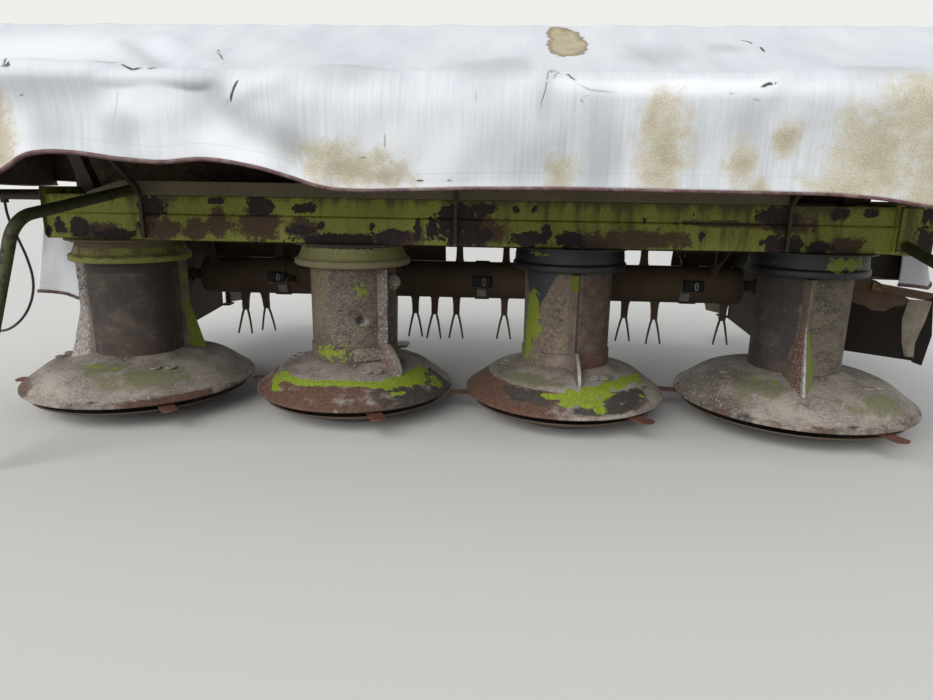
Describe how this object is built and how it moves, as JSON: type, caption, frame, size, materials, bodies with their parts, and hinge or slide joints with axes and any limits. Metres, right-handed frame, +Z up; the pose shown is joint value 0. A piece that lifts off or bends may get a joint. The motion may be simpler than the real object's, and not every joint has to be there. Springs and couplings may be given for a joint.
{
  "type": "drum mower",
  "caption": "Front-mounted drum mower with tine conditioner, canvas guards on folding frames, swath boards and a three-point headstock.",
  "frame": {"origin": "on the ground under the middle of the machine's box, with the skid dishes on Z = 0", "axes": "+X along the row of drums, to the right in the picture; +Y towards the tractor, along the input shaft; +Z up"},
  "size_m": [3.31, 1.8382, 1.175],
  "materials": {
    "white_canvas": "matt",
    "stained_canvas": "matt",
    "green_paint": "worn satin",
    "black_paint": "worn satin",
    "beige_paint": "worn matt",
    "rusted_steel": "rusted",
    "spring_steel": "dull",
    "machined_steel": "satin",
    "cable_rubber": "satin"
  },
  "bodies": {
    "carrier": {"gear_beam": "green_paint", "beam_ends": "black_paint", "drum_collars": "green_paint", "cover_strip": "beige_paint", "support_arms": "green_paint", "roof_tubes": "green_paint", "roof_bars": "green_paint", "canopy_posts": "green_paint", "side_hinge_rods": "green_paint", "inner_apron": "stained_canvas", "rear_canvas": "white_canvas", "end_rails": "black_paint", "left_rear_flap": "white_canvas", "right_rear_flap": "white_canvas", "hanging_cable": "cable_rubber", "crop_dividers": "green_paint", "cross_tube": "green_paint", "frame_gussets": "green_paint", "input_gearbox": "green_paint", "link_brackets": "green_paint", "top_link_mast": "green_paint", "mast_braces": "green_paint", "conditioner_side_plates": "black_paint", "conditioner_hood": "black_paint", "rotor_bearings": "black_paint", "conditioner_drive_cover": "black_paint", "right_deflector": "rusted_steel"},
    "drum_1": {"drum_1_barrel": "rusted_steel", "drum_1_disc": "rusted_steel", "drum_1_knives": "rusted_steel"},
    "skid_1": {"drum_1_skid": "rusted_steel"},
    "drum_2": {"drum_2_barrel": "rusted_steel", "drum_2_disc": "rusted_steel", "drum_2_knives": "rusted_steel"},
    "skid_2": {"drum_2_skid": "rusted_steel"},
    "drum_3": {"drum_3_barrel": "rusted_steel", "drum_3_disc": "rusted_steel", "drum_3_knives": "rusted_steel"},
    "skid_3": {"drum_3_skid": "rusted_steel"},
    "drum_4": {"drum_4_barrel": "rusted_steel", "drum_4_disc": "rusted_steel", "drum_4_knives": "rusted_steel"},
    "skid_4": {"drum_4_skid": "rusted_steel"},
    "rotor": {"rotor_tube": "rusted_steel", "rotor_tines": "spring_steel"},
    "input": {"input_shaft": "machined_steel"},
    "front_guard": {"front_tube": "green_paint", "guard_arms": "green_paint", "front_canvas": "white_canvas"},
    "left_side_guard": {"left_side_frame": "green_paint", "left_side_canvas": "white_canvas"},
    "right_side_guard": {"right_side_frame": "green_paint", "right_side_canvas": "white_canvas"},
    "left_swath_board": {"left_swath_board": "black_paint"},
    "right_swath_board": {"right_swath_board": "black_paint"},
    "left_parking_stand": {"left_parking_stand": "black_paint"},
    "right_parking_stand": {"right_parking_stand": "black_paint"}
  },
  "joints": [
    {"name": "drum_1_spin", "type": "hinge", "parent": "carrier", "child": "drum_1", "pos_m": [-1.086, -0.17085, 0.3], "axis": [0, 0, 1], "continuous": true},
    {"name": "drum_2_spin", "type": "hinge", "parent": "carrier", "child": "drum_2", "pos_m": [-0.348, -0.17085, 0.3], "axis": [0, 0, 1], "continuous": true},
    {"name": "drum_3_spin", "type": "hinge", "parent": "carrier", "child": "drum_3", "pos_m": [0.348, -0.17085, 0.3], "axis": [0, 0, 1], "continuous": true},
    {"name": "drum_4_spin", "type": "hinge", "parent": "carrier", "child": "drum_4", "pos_m": [1.086, -0.17085, 0.3], "axis": [0, 0, 1], "continuous": true},
    {"name": "skid_1_spin", "type": "hinge", "parent": "drum_1", "child": "skid_1", "pos_m": [-1.086, -0.17085, 0.03], "axis": [0, 0, 1], "continuous": true},
    {"name": "skid_2_spin", "type": "hinge", "parent": "drum_2", "child": "skid_2", "pos_m": [-0.348, -0.17085, 0.03], "axis": [0, 0, 1], "continuous": true},
    {"name": "skid_3_spin", "type": "hinge", "parent": "drum_3", "child": "skid_3", "pos_m": [0.348, -0.17085, 0.03], "axis": [0, 0, 1], "continuous": true},
    {"name": "skid_4_spin", "type": "hinge", "parent": "drum_4", "child": "skid_4", "pos_m": [1.086, -0.17085, 0.03], "axis": [0, 0, 1], "continuous": true},
    {"name": "rotor_spin", "type": "hinge", "parent": "carrier", "child": "rotor", "pos_m": [0, 0.32915, 0.37], "axis": [1, 0, 0], "continuous": true},
    {"name": "input_spin", "type": "hinge", "parent": "carrier", "child": "input", "pos_m": [0, 0.28915, 0.7], "axis": [0, 1, 0], "continuous": true},
    {"name": "front_guard_hinge", "type": "hinge", "parent": "carrier", "child": "front_guard", "pos_m": [0, -0.47085, 1.1], "axis": [-1, 0, 0], "range_deg": [0, 95]},
    {"name": "left_side_guard_hinge", "type": "hinge", "parent": "carrier", "child": "left_side_guard", "pos_m": [-1.345, -0.27085, 0.945], "axis": [0, 1, 0], "range_deg": [0, 90]},
    {"name": "right_side_guard_hinge", "type": "hinge", "parent": "carrier", "child": "right_side_guard", "pos_m": [1.345, -0.27085, 0.945], "axis": [0, -1, 0], "range_deg": [0, 90]},
    {"name": "left_swath_board_swing", "type": "hinge", "parent": "carrier", "child": "left_swath_board", "pos_m": [-1.11, 0.62915, 0.4], "axis": [0, 0, -1], "range_deg": [-10, 35]},
    {"name": "right_swath_board_swing", "type": "hinge", "parent": "carrier", "child": "right_swath_board", "pos_m": [1.11, 0.62915, 0.4], "axis": [0, 0, 1], "range_deg": [-10, 35]},
    {"name": "left_stand_swing", "type": "hinge", "parent": "carrier", "child": "left_parking_stand", "pos_m": [-0.368, 0.74915, 0.3], "axis": [1, 0, 0], "range_deg": [0, 100]},
    {"name": "right_stand_swing", "type": "hinge", "parent": "carrier", "child": "right_parking_stand", "pos_m": [0.368, 0.74915, 0.3], "axis": [1, 0, 0], "range_deg": [0, 100]}
  ],
  "couplings": [
    {"joint": "drum_2_spin", "follows": "drum_1_spin", "ratio": -1},
    {"joint": "drum_3_spin", "follows": "drum_1_spin", "ratio": 1},
    {"joint": "drum_4_spin", "follows": "drum_1_spin", "ratio": -1},
    {"joint": "rotor_spin", "follows": "drum_1_spin", "ratio": 0.55},
    {"joint": "input_spin", "follows": "drum_1_spin", "ratio": 0.625}
  ]
}
